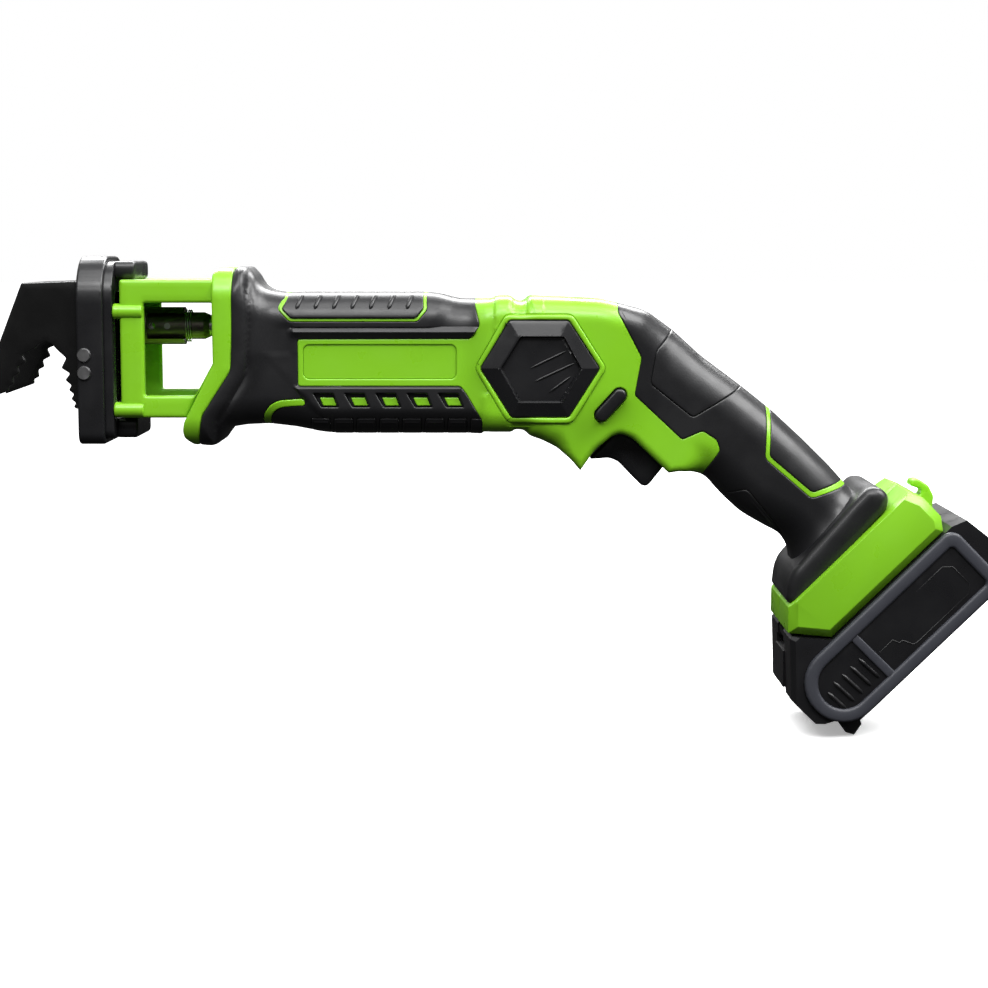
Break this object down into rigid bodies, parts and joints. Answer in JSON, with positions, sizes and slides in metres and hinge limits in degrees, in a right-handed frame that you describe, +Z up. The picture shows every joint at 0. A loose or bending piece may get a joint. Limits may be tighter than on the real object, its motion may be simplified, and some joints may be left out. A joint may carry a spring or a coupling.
{
  "type": "reciprocating saw",
  "caption": "Cordless pruning reciprocating saw with a notched branch claw, open nose frame, blade clamp, grip and slide-on battery.",
  "frame": {"origin": "centre of the blade clamp's mouth, on the stroke axis, rod fully back", "axes": "+X back along the barrel towards the battery, +Z up, -Y the tool's left side"},
  "size_m": [0.477, 0.075, 0.2235],
  "materials": {
    "green_plastic": "lime green moulded nylon, satin",
    "black_grip": "soft black elastomer skin, satin",
    "black_plastic": "black moulded nylon",
    "bumper_plastic": "dark grey moulded elastomer",
    "gloss_black_steel": "gloss black powder coat",
    "black_oxide": "oiled black oxide",
    "bright_steel": "bright steel",
    "gear_steel": "hardened steel",
    "cast_aluminium": "as cast",
    "bronze": "oil-filled bronze",
    "zinc_steel": "zinc plated",
    "copper": "bare copper",
    "magnet": "ferrite",
    "carbon": "pressed carbon",
    "seal_rubber": "black rubber",
    "board": "green circuit board",
    "lead_jacket": "insulated lead",
    "cell_wrap": "shrink wrapped cells"
  },
  "bodies": {
    "body": {"barrel_grip_left": "black_grip", "barrel_grip_right": "black_grip", "branch_claw": "gloss_black_steel", "carbon_brushes": "carbon", "claw_rivets": "bright_steel", "control_board": "board", "crank_bearing": "bright_steel", "front_bush": "bronze", "gear_carrier": "cast_aluminium", "handle_grip_left": "black_grip", "handle_grip_right": "black_grip", "hex_cover_left": "black_plastic", "hex_cover_right": "black_plastic", "housing_left": "green_plastic", "housing_right": "green_plastic", "housing_screws": "bright_steel", "lock_spring": "bright_steel", "motor_bearings": "bright_steel", "motor_can": "zinc_steel", "motor_end_cap": "black_plastic", "motor_leads": "lead_jacket", "motor_magnets": "magnet", "nose_frame": "green_plastic", "rear_bush": "bronze", "rod_seal": "seal_rubber", "shoe": "black_plastic", "shoe_screws": "bright_steel", "strap_hook": "green_plastic", "switch_body": "black_plastic", "terminal_blades": "copper", "terminal_block": "black_plastic", "trigger_spring": "bright_steel"},
    "crank": {"crank_gear": "gear_steel", "crank_pin": "bright_steel", "crank_axle": "bright_steel"},
    "rod": {"plunger_rod": "bright_steel", "yoke": "bright_steel", "clamp_body": "black_oxide", "clamp_pin": "bright_steel", "clamp_spring": "bright_steel"},
    "collar": {"clamp_collar": "black_oxide"},
    "rotor": {"armature": "zinc_steel", "windings": "copper", "commutator": "copper", "motor_shaft": "bright_steel", "pinion": "gear_steel"},
    "trigger": {"trigger": "black_plastic"},
    "lock": {"lock_button": "black_plastic"},
    "battery": {"pack_lower_case": "black_plastic", "pack_upper_case": "black_plastic", "pack_bumper_left": "bumper_plastic", "pack_bumper_right": "bumper_plastic", "pack_panel_left": "black_plastic", "pack_panel_right": "black_plastic", "cells": "cell_wrap", "cell_holders": "black_plastic", "pack_board": "board", "pack_contacts": "copper", "latch_spring": "bright_steel"},
    "latch": {"pack_latch": "black_plastic"}
  },
  "joints": [
    {"name": "crank_turn", "type": "hinge", "parent": "body", "child": "crank", "pos_m": [0.1867, 0, -0.026], "axis": [0, 1, 0], "range_deg": [0, 180]},
    {"name": "rod_slide", "type": "slide", "parent": "body", "child": "rod", "axis": [-1, 0, 0], "range_m": [0, 0.015]},
    {"name": "motor_spin", "type": "hinge", "parent": "body", "child": "rotor", "pos_m": [0.1867, 0, -0.026], "axis": [1, 0, 0], "range_deg": [-1, 1081]},
    {"name": "collar_turn", "type": "hinge", "parent": "rod", "child": "collar", "pos_m": [0, 0, 0], "axis": [1, 0, 0], "range_deg": [0, 40], "stiffness_Nm_per_rad": 0.08, "springref_deg": -8.59},
    {"name": "trigger_press", "type": "slide", "parent": "body", "child": "trigger", "axis": [0.6691, 0, 0.7431], "range_m": [0, 0.007], "stiffness_N_per_m": 900, "springref_m": -0.003, "deforming": ["trigger_spring"]},
    {"name": "lock_off", "type": "slide", "parent": "body", "child": "lock", "axis": [0, 1, 0], "range_m": [0, 0.0027], "stiffness_N_per_m": 900, "springref_m": -0.002, "deforming": ["lock_spring"]},
    {"name": "battery_slide", "type": "slide", "parent": "body", "child": "battery", "axis": [-0.7132, 0, -0.7009], "range_m": [0, 0.075]},
    {"name": "latch_press", "type": "slide", "parent": "battery", "child": "latch", "axis": [0.7009, 0, -0.7132], "range_m": [0, 0.0035], "stiffness_N_per_m": 1200, "springref_m": -0.003, "deforming": ["latch_spring"]}
  ],
  "couplings": [
    {"joint": "crank_turn", "follows": "rod_slide", "rad_per_m": 209.44},
    {"joint": "motor_spin", "follows": "rod_slide", "rad_per_m": 1256.6}
  ]
}
